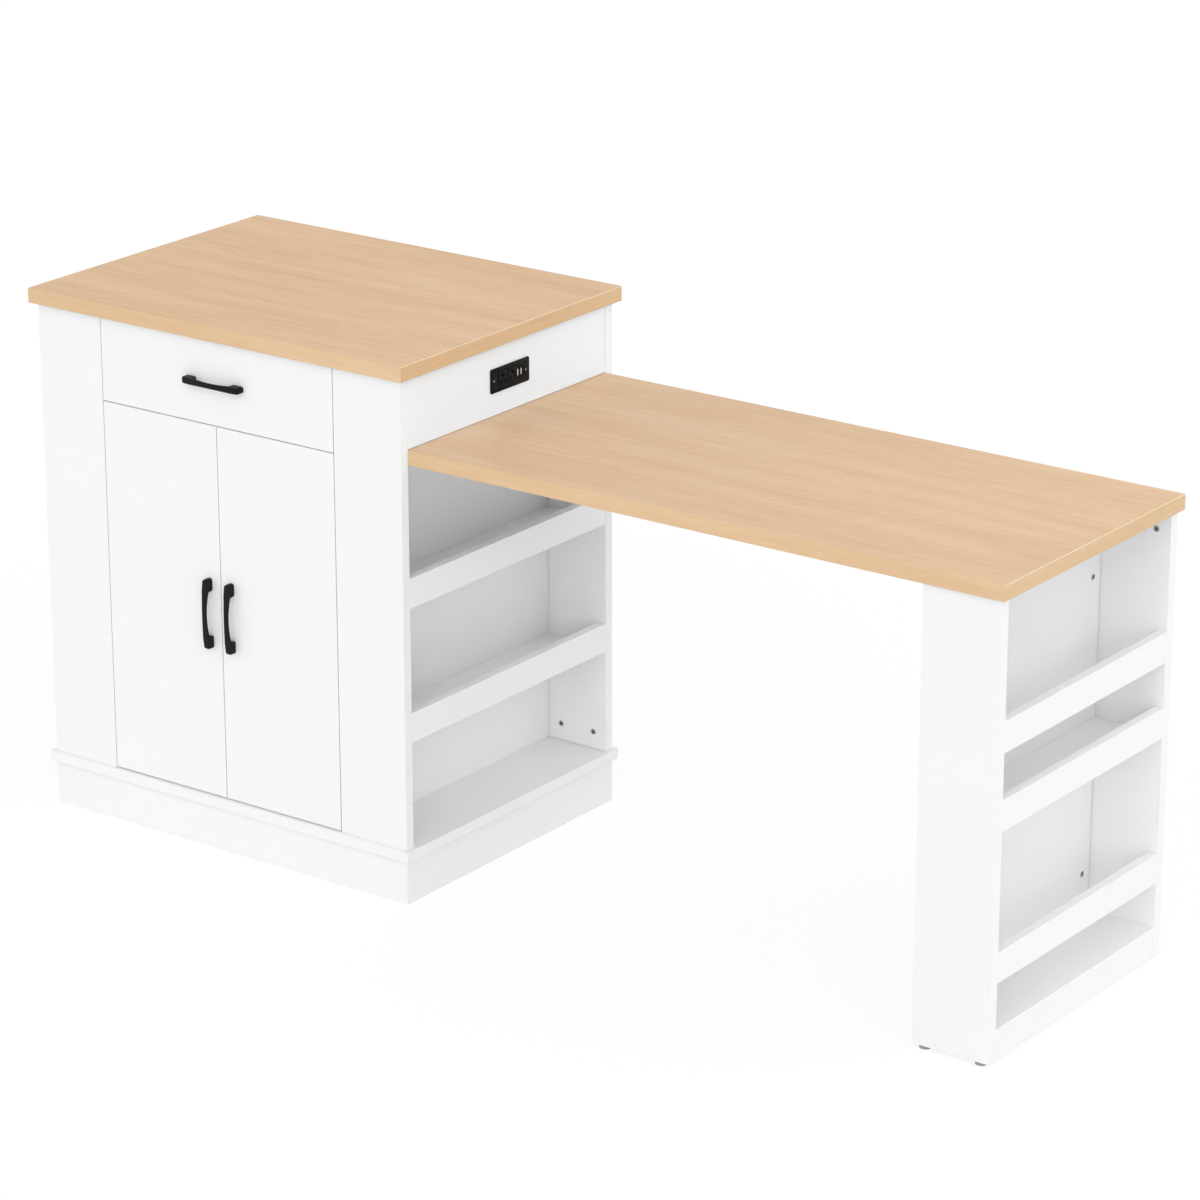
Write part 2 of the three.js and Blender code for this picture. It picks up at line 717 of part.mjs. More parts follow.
// The plate lies on the header, and the housing behind it fills the header's cut-out. Both are drawn round
// the plate's centre, with the header's outer face at x = 0.
function powerUnit() {
  const group = new THREE.Group();
  const centreY = (inside.front + inside.back) / 2;
  const centreZ = (tableHeight + carcass.top) / 2;
  const face = carcass.right;

  const cutY = housingLength / 2 + housingClearance;
  const cutZ = housingHeight / 2 + housingClearance;
  const panel = block([face - board, face], [inside.front, inside.back], [tableHeight, carcass.top]);
  const cutOut = block(
    [face - board - through, face + through],
    [centreY - cutY, centreY + cutY],
    [centreZ - cutZ, centreZ + cutZ],
  );

  const plateOutline = roundedRectangle(plateLength, plateHeight, plateCorner);
  const plateSlab = extrudeAlong(plateOutline, plateThickness, alongY, alongZ, alongX, holeSteps);
  const plate = geometryOf(withSockets(solidOf(plateSlab), plateThickness, plateThickness + through));

  const inletX = -(board + housingDepth) / 2;
  const inlet = new THREE.CylinderGeometry(inletRadius, inletRadius, inletLength + weld, sides.inlet);
  inlet.translate(inletX, (housingLength + inletLength - weld) / 2, 0);
  const bore = new THREE.CylinderGeometry(inletBore, inletBore, inletLength + through, sides.bore);
  bore.translate(inletX, (housingLength + inletLength + through) / 2, 0);
  const body = block(
    [-housingDepth, 0],
    [-housingLength / 2, housingLength / 2],
    [-housingHeight / 2, housingHeight / 2],
  );
  const housing = withSockets(solidOf(body), 0, socketDepth).add(solidOf(inlet)).subtract(solidOf(bore));

  group.add(
    piece("power_panel", geometryOf(solidOf(panel).subtract(solidOf(cutOut))), white),
    piece("power_plate", plate.translate(face, centreY, centreZ), blackPlastic),
    piece("power_housing", geometryOf(housing).translate(face, centreY, centreZ), blackPlastic),
  );
  return group;
}

const island = new THREE.Group();
island.add(
  plinth(),
  carcassBoards(),
  bay("left"),
  bay("right"),
  tops(),
  legUnit(),
  drawer(),
  slides(),
  doors(),
  powerUnit(),
);
const frontmost = Math.min(0, carcass.front - pullReach, carcass.front - baseReach);
const backmost = Math.max(worktopDepth, carcass.back + baseReach);
const leftmost = Math.min(0, carcass.left - baseReach);
island.position.set(-(leftmost + table.end) / 2, -(frontmost + backmost) / 2, 0);

const unit = new THREE.Group();
unit.add(island);
export default unit;
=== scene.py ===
import math

import bmesh
import bpy
from mathutils import Euler, Matrix, Vector


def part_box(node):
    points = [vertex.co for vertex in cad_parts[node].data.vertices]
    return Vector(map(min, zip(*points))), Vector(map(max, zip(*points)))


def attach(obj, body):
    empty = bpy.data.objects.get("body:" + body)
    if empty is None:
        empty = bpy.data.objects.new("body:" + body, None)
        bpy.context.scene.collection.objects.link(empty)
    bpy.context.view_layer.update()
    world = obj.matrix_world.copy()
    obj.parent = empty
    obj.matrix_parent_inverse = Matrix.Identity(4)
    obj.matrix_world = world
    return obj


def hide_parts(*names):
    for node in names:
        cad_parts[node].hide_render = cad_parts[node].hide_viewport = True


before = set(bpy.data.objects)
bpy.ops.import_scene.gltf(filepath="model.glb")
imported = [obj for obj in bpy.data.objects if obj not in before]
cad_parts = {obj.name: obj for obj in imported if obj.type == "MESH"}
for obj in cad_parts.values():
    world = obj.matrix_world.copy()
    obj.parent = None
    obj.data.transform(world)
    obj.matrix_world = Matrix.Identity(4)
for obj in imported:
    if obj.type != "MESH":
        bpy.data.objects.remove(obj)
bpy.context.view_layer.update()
scene = bpy.context.scene
scene.view_settings.view_transform = "Standard"

# ---- Camera
# The unit is seen from its front right corner and from above, through a long lens.
# The tilt and turn come from the straight board edges of the photograph.
camera = bpy.data.objects.new("camera", bpy.data.cameras.new("camera"))
scene.collection.objects.link(camera)
camera.data.sensor_width = 36
camera.data.lens = 137.58
camera.data.clip_end = 200
camera_place = (4.0798, -5.54395, 2.9052)
camera_down, camera_turn, camera_roll = 19.469, 36.2, -0.032  # degrees
aim = Euler((math.radians(90 - camera_down), 0, math.radians(camera_turn))).to_matrix()
aim = aim @ Matrix.Rotation(math.radians(camera_roll), 3, "Z")
camera.matrix_world = Matrix.Translation(camera_place) @ aim.to_4x4()
scene.camera = camera


# ---- Floor and studio light
# A plain pale floor, a white room round it, five broad soft suns, and a small lamp over the table's end.
# The floor and the room show white to the camera and to gloss, and the floor keeps part of its shadow.
def wire(tree, kind, inputs=None, **settings):
    """Adds a node, with its settings and with values or links for its inputs."""
    node = tree.nodes.new(kind)
    for name, value in settings.items():
        setattr(node, name, value)
    for socket, value in (inputs or {}).items():
        if isinstance(value, bpy.types.NodeSocket):
            tree.links.new(value, node.inputs[socket])
        else:
            node.inputs[socket].default_value = value
    return node


def seen_directly(tree, share):
    """A factor of share for camera, glossy and transmission rays, and 0 for all others."""
    path = wire(tree, "ShaderNodeLightPath")
    rays = [path.outputs[f"Is {kind} Ray"] for kind in ("Camera", "Glossy", "Transmission")]
    either = wire(tree, "ShaderNodeMath", {0: rays[0], 1: rays[1]}, operation="MAXIMUM")
    either = wire(tree, "ShaderNodeMath", {0: either.outputs[0], 1: rays[2]}, operation="MAXIMUM")
    return wire(tree, "ShaderNodeMath", {0: either.outputs[0], 1: share}, operation="MULTIPLY").outputs[0]


white = (1, 1, 1, 1)
room_light = 0.68
room = bpy.data.worlds.new("white_room")
scene.world = room
room.use_nodes = True
room.node_tree.nodes.clear()
lit = wire(room.node_tree, "ShaderNodeBackground", {"Color": white, "Strength": room_light})
shown = wire(room.node_tree, "ShaderNodeBackground", {"Color": white, "Strength": 1.0})
room_mix = wire(
    room.node_tree,
    "ShaderNodeMixShader",
    {0: seen_directly(room.node_tree, 1.0), 1: lit.outputs[0], 2: shown.outputs[0]},
)
wire(room.node_tree, "ShaderNodeOutputWorld", {"Surface": room_mix.outputs[0]})

floor_radius = 60
floor_drop = 0.0003  # below the feet, so that the faces don't meet
floor_colour = (0.9, 0.9, 0.9, 1)
floor_glow = 1.05
glow_share = 0.8  # the rest of the floor shows its light and shadow
floor_mesh = bpy.data.meshes.new("floor")
floor_shape = bmesh.new()
bmesh.ops.create_circle(floor_shape, cap_ends=True, radius=floor_radius, segments=96)
floor_shape.to_mesh(floor_mesh)
floor_shape.free()
floor = bpy.data.objects.new("floor", floor_mesh)
floor.location.z = -floor_drop
scene.collection.objects.link(floor)
pale = bpy.data.materials.new("pale_floor")
pale.use_nodes = True
pale.node_tree.nodes.clear()
matt = wire(pale.node_tree, "ShaderNodeBsdfDiffuse", {"Color": floor_colour})
glow = wire(pale.node_tree, "ShaderNodeEmission", {"Color": white, "Strength": floor_glow})
floor_mix = wire(
    pale.node_tree,
    "ShaderNodeMixShader",
    {0: seen_directly(pale.node_tree, glow_share), 1: matt.outputs[0], 2: glow.outputs[0]},
)
wire(pale.node_tree, "ShaderNodeOutputMaterial", {"Surface": floor_mix.outputs[0]})
floor_mesh.materials.append(pale)

# name, strength, and in degrees: spread, elevation, direction from the front towards the right
suns = [
    ("front_left_lamp", 0.12, 60, 25, -40),
    ("front_right_lamp", 0.96, 60, 25, 30),
    ("low_right_lamp", 0.15, 50, 12, 50),
    ("right_lamp", 0.34, 60, 30, 95),
    ("back_right_lamp", 0.19, 70, 35, 150),
]
for name, strength, spread, elevation, direction in suns:
    sun = bpy.data.objects.new(name, bpy.data.lights.new(name, "SUN"))
    sun.data.energy = strength
    sun.data.angle = math.radians(spread)
    sun.rotation_euler = (math.radians(90 - elevation), 0, math.radians(direction))
    scene.collection.objects.link(sun)
# the table's free end is the brightest part of the tops
end_lamp = bpy.data.objects.new("end_lamp", bpy.data.lights.new("end_lamp", "AREA"))
end_lamp.data.size = 0.7
end_lamp.data.energy = 1.1
end_lamp.location = (0.93, 0.1, 1.508)
end_lamp.visible_camera = False
end_lamp.visible_glossy = False
scene.collection.objects.link(end_lamp)


# ---- White boards of the cupboard block and the leg
# Carcass, plinth, bays and leg are particle board with a smooth white melamine face and a white band on each
# edge. They meet in plain butt joints. The edges are eased by half a millimetre, as a banding machine does.
def new_group(name, inputs, outputs):
    """An empty shader node group with named float or vector sockets, and its two end nodes."""
    tree = bpy.data.node_groups.new(name, "ShaderNodeTree")
    for direction, sockets in (("INPUT", inputs), ("OUTPUT", outputs)):
        for socket, kind in sockets:
            tree.interface.new_socket(name=socket, in_out=direction, socket_type=f"NodeSocket{kind}")
    return tree, tree.nodes.new("NodeGroupInput"), tree.nodes.new("NodeGroupOutput")


def stretched_noise(tree, position, across, along, detail, seed):
    """Noise whose spots are across wide in y and z, and along long in x."""
    offset = (seed, 1.7 * seed, 2.3 * seed)
    moved = wire(tree, "ShaderNodeVectorMath", {0: position, 1: offset}, operation="ADD")
    size = wire(tree, "ShaderNodeCombineXYZ", {"X": along, "Y": across, "Z": across})
    scaled = wire(
        tree, "ShaderNodeVectorMath", {0: moved.outputs[0], 1: size.outputs[0]}, operation="DIVIDE"
    )
    return wire(
        tree,
        "ShaderNodeTexNoise",
        {"Vector": scaled.outputs[0], "Scale": 1.0, "Detail": detail, "Roughness": 0.55},
    ).outputs["Fac"]


speckle, given, result = new_group(
    "speckle",
    [("Position", "Vector"), ("Grain Size", "Float"), ("Cloud Size", "Float")],
    [("Grain", "Float"), ("Cloud", "Float")],
)
speckle_seed = 7.0
for output, size, detail in (("Grain", "Grain Size", 2.0), ("Cloud", "Cloud Size", 3.0)):
    place, spot_size = given.outputs["Position"], given.outputs[size]
    noise = stretched_noise(speckle, place, spot_size, spot_size, detail, speckle_seed)
    speckle.links.new(noise, result.inputs[output])


def mixed(tree, factor, first, second):
    """A colour between two others by a factor."""
    node = wire(tree, "ShaderNodeMix", {"Factor": factor}, data_type="RGBA")
    for index, colour in ((6, first), (7, second)):  # the colour inputs A and B
        if isinstance(colour, bpy.types.NodeSocket):
            tree.links.new(colour, node.inputs[index])
        else:
            node.inputs[index].default_value = (*colour, 1)
    return node.outputs[2]


def finish_of(name):
    """A new material with a Principled shader, and its tree, shader and Object coordinates."""
    material = bpy.data.materials.new(name)
    material.use_nodes = True
    tree = material.node_tree
    shader = tree.nodes["Principled BSDF"]
    place = wire(tree, "ShaderNodeTexCoord").outputs["Object"]
    return material, tree, shader, place


def dress(tree, shader, colour, mask, rough_range, texture, strength, height):
    """Feeds a shader: its colour, its roughness over a range by a mask, and a bump from a texture."""
    tree.links.new(colour, shader.inputs["Base Color"])
    low, high = rough_range
    rough = wire(tree, "ShaderNodeMapRange", {"Value": mask, "To Min": low, "To Max": high})
    tree.links.new(rough.outputs[0], shader.inputs["Roughness"])
    bump = wire(tree, "ShaderNodeBump", {"Height": texture, "Strength": strength, "Distance": height})
    tree.links.new(bump.outputs[0], shader.inputs["Normal"])


def speckled(tree, place, grain, cloud):
    """The speckle group on a tree, fed with a place and its two sizes."""
    return wire(
        tree,
        "ShaderNodeGroup",
        {"Position": place, "Grain Size": grain, "Cloud Size": cloud},
        node_tree=speckle,
    )


def board_finish(name, light, dark, rough):
    """White melamine: nearly even colour, a faint cloud in its sheen and a very fine texture."""
    material, tree, shader, place = finish_of(name)
    spots = speckled(tree, place, grain=0.0012, cloud=0.18)
    dress(
        tree,
        shader,
        mixed(tree, spots.outputs["Cloud"], dark, light),
        mask=spots.outputs["Cloud"],
        rough_range=(rough + 0.06, rough - 0.06),
        texture=spots.outputs["Grain"],
        strength=0.18,
        height=0.0001,
    )
    return material


white_board = board_finish("white_melamine", (0.905, 0.905, 0.905), (0.885, 0.885, 0.885), rough=0.42)
white_band = board_finish("white_edge_band", (0.88, 0.88, 0.88), (0.84, 0.84, 0.84), rough=0.36)
board_edge = 0.0005
flat_enough = 0.999  # a face whose normal is this near to an axis is flat, and any other is an eased edge
edge_reach = 1.1  # an end's corners lie within this many eased edges of the end
same_place = 1e-6  # vertices nearer than this are one
same_plane = math.radians(0.5)  # faces that meet at less than this are one flat face
axis_x, axis_y, axis_z = range(3)


def eased_copy(node, edge, cuts=2, corner=30):
    """A merged copy of a CAD node as an open bmesh, with its sharp edges eased by a small radius.

    An edge is sharp where its faces meet at more than corner degrees.
    """
    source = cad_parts[node].data
    bare = bpy.data.meshes.new(node)
    bare.from_pydata([v.co for v in source.vertices], [], [list(p.vertices) for p in source.polygons])
    shape = bmesh.new()
    shape.from_mesh(bare)
    bpy.data.meshes.remove(bare)
    bmesh.ops.remove_doubles(shape, verts=shape.verts, dist=same_place)
    bmesh.ops.dissolve_limit(shape, angle_limit=same_plane, verts=shape.verts, edges=shape.edges)
    joined = [e for e in shape.edges if len(e.link_faces) == 2]
    sharp = [e for e in joined if e.calc_face_angle(0) > math.radians(corner)]
    bmesh.ops.bevel(shape, geom=sharp, offset=edge, segments=cuts, profile=0.5, affect="EDGES")
    return shape


def new_piece(name, shape, materials, body, replaced=()):
    """Makes a finished piece from a bmesh with its materials, hides the CAD nodes that it replaces, and ties
    it to its body.
    """
    mesh = bpy.data.meshes.new(name)
    shape.to_mesh(mesh)
    shape.free()
    for material in materials:
        mesh.materials.append(material)
    piece = bpy.data.objects.new(name, mesh)
    scene.collection.objects.link(piece)
    if replaced:
        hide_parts(*replaced)
    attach(piece, body)
    return piece


def white_piece(node, body, edge=board_edge, joints=()):
    """A white board with its eased edges in the band's finish.

    A joint is an axis, an end (min or max) and how far the board's end stays off the board that it meets.
    """
    board = eased_copy(node, edge)
    for axis, end, gap in joints:
        limit = end(vert.co[axis] for vert in board.verts)
        for vert in board.verts:
            if abs(vert.co[axis] - limit) < edge_reach * edge:
                vert.co[axis] += gap if end is min else -gap
    for face in board.faces:
        eased = max(map(abs, face.normal)) < flat_enough
        face.smooth = eased
        face.material_index = int(eased)
    new_piece(f"{node}_board", board, [white_board, white_band], body, [node])


# joints that show as a dark line between two boards
joints = {
    "power_panel": [(axis_z, min, 0.0007), (axis_y, max, 0.0014)],
    "header_left": [(axis_y, max, 0.0005)],
    "back_panel": [(axis_z, min, 0.0005)],
    "leg_inner_panel": [(axis_y, max, 0.0010)],
}
for side in ("left", "right"):
    joints[f"inner_wall_{side}"] = [(axis_y, max, 0.0007)]
    joints[f"bay_{side}_lower_lip"] = joints[f"bay_{side}_upper_lip"] = [(axis_y, max, 0.0005)]
for height in ("low", "mid", "high"):
    joints[f"leg_rail_{height}"] = [(axis_y, max, 0.0005)]
for node in (
    "plinth_front plinth_back plinth_left plinth_right base_panel "
    "front_board_left front_board_right inner_wall_left inner_wall_right "
    "header_left power_panel back_panel cupboard_shelf "
    "bay_left_lower_shelf bay_left_lower_lip bay_left_upper_shelf bay_left_upper_lip "
    "bay_right_lower_shelf bay_right_lower_lip bay_right_upper_shelf bay_right_upper_lip "
    "leg_front_panel leg_back_panel leg_inner_panel leg_bottom_shelf leg_kick_board "
    "leg_mid_shelf leg_rail_low leg_rail_mid leg_rail_high"
).split():
    white_piece(node, "frame", joints=joints.get(node, ()))

# ---- Cam fittings
# Zinc cam fittings pull the boards together: round flat heads with a cross for the screwdriver, let into the
# boards. They show low in the side bays and inside the leg. The same nodes set all screw heads further on.
round_heads = bpy.data.node_groups.new("round_heads", "GeometryNodeTree")
for name, kind in (
    ("Points", "Geometry"),
    ("Radius", "Float"),
    ("Height", "Float"),
    ("Flatness", "Float"),
    ("Cross Length", "Float"),
    ("Cross Width", "Float"),
    ("Cross Depth", "Float"),
    ("Turn Seed", "Int"),
    ("Finish", "Material"),
):
    round_heads.interface.new_socket(name=name, in_out="INPUT", socket_type=f"NodeSocket{kind}")
round_heads.interface.new_socket(name="Heads", in_out="OUTPUT", socket_type="NodeSocketGeometry")
given = round_heads.nodes.new("NodeGroupInput").outputs
# a ball, widened towards its rim by the flatness and pressed down to the height
ball = wire(round_heads, "GeometryNodeMeshUVSphere", {"Segments": 24, "Rings": 12, "Radius": 1.0})
spot = wire(round_heads, "GeometryNodeInputPosition").outputs[0]
level = wire(round_heads, "ShaderNodeVectorMath", {0: spot, 1: (1, 1, 0)}, operation="MULTIPLY")
reach = wire(round_heads, "ShaderNodeVectorMath", {0: level.outputs[0]}, operation="LENGTH")
to_rim = wire(round_heads, "ShaderNodeMath", {0: 1.0, 1: reach.outputs["Value"]}, operation="SUBTRACT")
swell = wire(
    round_heads,
    "ShaderNodeMath",
    {0: to_rim.outputs[0], 1: given["Flatness"], 2: 1.0},
    operation="MULTIPLY_ADD",
)
wide = wire(round_heads, "ShaderNodeMath", {0: swell.outputs[0], 1: given["Radius"]}, operation="MULTIPLY")
size = wire(
    round_heads, "ShaderNodeCombineXYZ", {"X": wide.outputs[0], "Y": wide.outputs[0], "Z": given["Height"]}
)
shaped = wire(round_heads, "ShaderNodeVectorMath", {0: spot, 1: size.outputs[0]}, operation="MULTIPLY")
head = wire(
    round_heads,
    "GeometryNodeSetPosition",
    {"Geometry": ball.outputs["Mesh"], "Position": shaped.outputs[0]},
)
# two bars, cut into its top as the cross
twice = wire(round_heads, "ShaderNodeMath", {0: given["Cross Depth"], 1: 2.0}, operation="MULTIPLY")
lift = wire(round_heads, "ShaderNodeCombineXYZ", {"Z": given["Height"]})
recess = wire(
    round_heads,
    "GeometryNodeMeshBoolean",
    {"Mesh 1": head.outputs[0]},
    operation="DIFFERENCE",
    solver="EXACT",
)
for across, along in (("Cross Length", "Cross Width"), ("Cross Width", "Cross Length")):
    bar_size = {"X": given[across], "Y": given[along], "Z": twice.outputs[0]}
    bar = wire(round_heads, "ShaderNodeCombineXYZ", bar_size)
    cube = wire(round_heads, "GeometryNodeMeshCube", {"Size": bar.outputs[0]})
    arm = wire(
        round_heads,
        "GeometryNodeTransform",
        {"Geometry": cube.outputs["Mesh"], "Translation": lift.outputs[0]},
    )
    round_heads.links.new(arm.outputs[0], recess.inputs["Mesh 2"])
# each head stands along its point's way, with its cross turned by chance
way = wire(round_heads, "GeometryNodeInputNamedAttribute", {"Name": "facing"}, data_type="FLOAT_VECTOR")
upright = wire(
    round_heads, "FunctionNodeAlignRotationToVector", {"Vector": way.outputs["Attribute"]}, axis="Z"
)
turn_limit = 3  # the highest float of the random node
turn = wire(
    round_heads,
    "FunctionNodeRandomValue",
    {turn_limit: math.pi / 2, "Seed": given["Turn Seed"]},
    data_type="FLOAT",
)
turned = wire(round_heads, "FunctionNodeAxisAngleToRotation", {"Axis": (0, 0, 1), "Angle": turn.outputs[1]})
stood = wire(
    round_heads,
    "FunctionNodeRotateRotation",
    {"Rotation": upright.outputs[0], "Rotate By": turned.outputs[0]},
    rotation_space="LOCAL",
)
placed = wire(
    round_heads,
    "GeometryNodeInstanceOnPoints",
    {"Points": given["Points"], "Instance": recess.outputs["Mesh"], "Rotation": stood.outputs[0]},
)
real = wire(round_heads, "GeometryNodeRealizeInstances", {"Geometry": placed.outputs[0]})
dressed = wire(
    round_heads, "GeometryNodeSetMaterial", {"Geometry": real.outputs[0], "Material": given["Finish"]}
)
wire(round_heads, "NodeGroupOutput", {"Heads": dressed.outputs[0]})

usual_crease = 35  # degrees; faces that meet at less are shaded smooth


def set_heads(name, spots, sizes, finish, body, seed):
    """Sets heads on spots, each a place and the way it faces, and makes them one plain mesh on one body."""
    points = bpy.data.meshes.new(name)
    points.from_pydata([place for place, way in spots], [], [])
    facing = points.attributes.new("facing", "FLOAT_VECTOR", "POINT")
    for entry, (place, way) in zip(facing.data, spots):
        entry.vector = way
    piece = bpy.data.objects.new(name, points)
    scene.collection.objects.link(piece)
    modifier = piece.modifiers.new("heads", "NODES")
    modifier.node_group = round_heads
    values = sizes | {"Turn Seed": seed, "Finish": finish}
    for socket in round_heads.interface.items_tree:
        if socket.name in values:
            modifier[socket.identifier] = values[socket.name]
    made = bpy.data.meshes.new_from_object(piece.evaluated_get(bpy.context.evaluated_depsgraph_get()))
    piece.modifiers.clear()
    piece.data = made
    made.shade_smooth()
    made.set_sharp_from_angle(angle=math.radians(usual_crease))
    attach(piece, body)


def head_sizes(radius, height, flatness, cross_length, cross_width, cross_depth):
    """A head's sizes by the names of their inputs."""
    return {
        "Radius": radius,
        "Height": height,
        "Flatness": flatness,
        "Cross Length": cross_length,
        "Cross Width": cross_width,
        "Cross Depth": cross_depth,
    }


def metal_finish(name, light, dark, rough, grain):
    """Bare or plated metal with a cloudy sheen and a fine texture."""
    material, tree, shader, place = finish_of(name)
    shader.inputs["Metallic"].default_value = 1.0
    spots = speckled(tree, place, grain, cloud=20 * grain)
    dress(
        tree,
        shader,
        mixed(tree, spots.outputs["Cloud"], dark, light),
        mask=spots.outputs["Cloud"],
        rough_range=(rough + 0.08, rough - 0.08),
        texture=spots.outputs["Grain"],
        strength=0.12,
        height=grain / 4,
    )
    return material


die_cast_zinc = metal_finish(
    "die_cast_zinc", (0.56, 0.56, 0.55), (0.40, 0.40, 0.39), rough=0.5, grain=0.0008
)
cam_size = head_sizes(
    radius=0.0053, height=0.0004, flatness=1.0, cross_length=0.0074, cross_width=0.0017, cross_depth=0.0004
)
cam_rise = 0.030  # from a joint's board to the middle of a fitting
bay_cam_insets = (0.0258, 0.0929)  # from the carcass side: by the outer board, and by the inner wall
leg_cam_heights = (0.1237, 0.6132)
leg_cam_inset = 0.0227  # from the leg's front and back panels to the fittings in its wall
leg_top_cam_inset = 0.0255  # from the free edge of these panels to the fittings under the table
wall_low, wall_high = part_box("back_panel")
base_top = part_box("base_panel")[1].z
bay_cam_places = [wall_low.x + inset for inset in bay_cam_insets]
bay_cam_places += [wall_high.x - inset for inset in reversed(bay_cam_insets)]
cams = [((x, wall_low.y, base_top + cam_rise), (0, -1, 0)) for x in bay_cam_places]
leg_wall_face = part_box("leg_inner_panel")[1].x
leg_front_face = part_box("leg_front_panel")[1].y
leg_back_low, leg_back_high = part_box("leg_back_panel")
for height in leg_cam_heights:
    for y in (leg_front_face + leg_cam_inset, leg_back_low.y - leg_cam_inset):
        cams.append(((leg_wall_face, y, height), (1, 0, 0)))
for y, way in ((leg_front_face, 1), (leg_back_low.y, -1)):
    cams.append(((leg_back_high.x - leg_top_cam_inset, y, leg_back_high.z - cam_rise), (0, way, 0)))
set_heads("cam_fittings", cams, cam_size, die_cast_zinc, "frame", seed=5)


# ---- Shelf pins in the cupboard
# Four turned steel pins, pressed into the inner walls, hold the cupboard shelf. Each has a groove and a
# rounded tip.
def lathe(shape, profile, start, way, steps=24):
    """Adds a turned form to a bmesh. The profile gives distances along way and radii, from a start point."""
    way = Vector(way).normalized()
    side = way.orthogonal().normalized()
    across = way.cross(side)
    rings = []
    for distance, radius in profile:
        middle = Vector(start) + way * distance
        if radius == 0:
            rings.append([shape.verts.new(middle)])
            continue
        angles = [2 * math.pi * i / steps for i in range(steps)]
        arms = [side * math.cos(angle) + across * math.sin(angle) for angle in angles]
        rings.append([shape.verts.new(middle + arm * radius) for arm in arms])
    for low, high in zip(rings, rings[1:]):
        for i in range(steps):
            j = (i + 1) % steps
            if len(low) == 1:
                corners = [low[0], high[i], high[j]]
            elif len(high) == 1:
                corners = [low[j], low[i], high[0]]
            else:
                corners = [low[j], low[i], high[i], high[j]]
            shape.faces.new(corners)


def smoothed(shape, name, finish, body, replaced=(), crease=usual_crease):
    """A piece from a bmesh, shaded smooth up to a crease angle."""
    bmesh.ops.recalc_face_normals(shape, faces=shape.faces)
    piece = new_piece(name, shape, [finish], body, replaced)
    piece.data.shade_smooth()
    piece.data.set_sharp_from_angle(angle=math.radians(crease))


zinc_plate = metal_finish(
    "zinc_plate", (0.70, 0.71, 0.72), (0.60, 0.61, 0.62), rough=0.34, grain=0.0006
)
pin_radius = 0.0025
groove_radius = 0.0021
tip_radius = 0.0012
pin_length = 0.0080
pin_inset = 0.037  # from the shelf's front and back edges
pin_profile = [  # distance from the wall, and radius
    (0, 0),
    (0, pin_radius),
    (0.0012, pin_radius),
    (0.0016, groove_radius),
    (0.0022, groove_radius),
    (0.0026, pin_radius),
    (0.0068, pin_radius),
    (0.0076, groove_radius),
    (pin_length, tip_radius),
    (pin_length, 0),
]
shelf_low, shelf_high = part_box("cupboard_shelf")
pins = bmesh.new()
for wall, way in ((shelf_low.x, 1), (shelf_high.x, -1)):
    for y in (shelf_low.y + pin_inset, shelf_high.y - pin_inset):
        lathe(pins, pin_profile, (wall, y, shelf_low.z - pin_radius), (way, 0, 0))
smoothed(pins, "shelf_pins", zinc_plate, "frame")

# ---- Drawer
# The front is the same white board as the doors. The box behind it is thinner white board, and its bottom
# sits in grooves of its sides.
front_edge = 0.0003  # the doors and the drawer front have crisper edges than the boards round them
white_piece("drawer_front", "drawer", front_edge)
for node in "drawer_side_left drawer_side_right drawer_back drawer_bottom".split():
    white_piece(node, "drawer")


# ---- Drawer slides
# Zinc plated sheet steel. A channel is screwed to each inner wall and a runner to each side of the drawer.
# Each runner slides inside its channel.
def refinish(node, finish):
    """Gives a CAD node that stays in view its finish."""
    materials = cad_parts[node].data.materials
    materials.clear()
    materials.append(finish)


slide_screw = head_sizes(
    radius=0.0032, height=0.0014, flatness=1.0, cross_length=0.0042, cross_width=0.0009, cross_depth=0.0012
)
slide_web = 0.0015  # sheet of a channel or runner, which its screws hold
channel_screw_shares = (0.08, 0.5, 0.86)  # of the length, from the front
runner_screw_shares = (0.12, 0.9)
channel_screws, runner_screws = [], []
for side, way in (("left", 1), ("right", -1)):
    channel, runner = f"slide_channel_{side}", f"slide_runner_{side}"
    refinish(channel, zinc_plate)
    refinish(runner, zinc_plate)
    low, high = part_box(channel)
    web = (low.x if way > 0 else high.x) + way * slide_web
    height = (low.z + high.z) / 2
    for share in channel_screw_shares:
        channel_screws.append(((web, low.y + share * (high.y - low.y), height), (way, 0, 0)))
    low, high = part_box(runner)
    web = (high.x if way > 0 else low.x) - way * slide_web
    for share in runner_screw_shares:
        runner_screws.append(((web, low.y + share * (high.y - low.y), height), (-way, 0, 0)))
set_heads("channel_screws", channel_screws, slide_screw, zinc_plate, "frame", seed=11)
set_heads("runner_screws", runner_screws, slide_screw, zinc_plate, "drawer", seed=12)

# ---- Doors and their cup hinges
# Two doors of white board. Each turns on two steel cup hinges: the cup sits in a bore of the door, with a
# screwed wing above and below, and its arm is screwed to the inner wall.
wing_width = 0.0125
wing_thickness = 0.0011
wing_start, wing_screw_rise, wing_end = 0.0165, 0.024, 0.0305  # from the cup's middle
wing_steps = 10
wing_screw = head_sizes(
    radius=0.0034, height=0.0013, flatness=1.0, cross_length=0.0044, cross_width=0.0009, cross_depth=0.0012
)
arm_screw = head_sizes(
    radius=0.0036, height=0.0014, flatness=1.0, cross_length=0.0048, cross_width=0.0010, cross_depth=0.0012
)
arm_plate = 0.003  # thickness of the arm's plate on the wall
arm_block = 0.012  # from the wall to the top of the arm's block
plate_screw_rise = 0.0135  # above and below the middle of the arm's plate
plate_screw_setback = 0.020  # from the plate's back end
block_screw_setbacks = (0.010, 0.034)


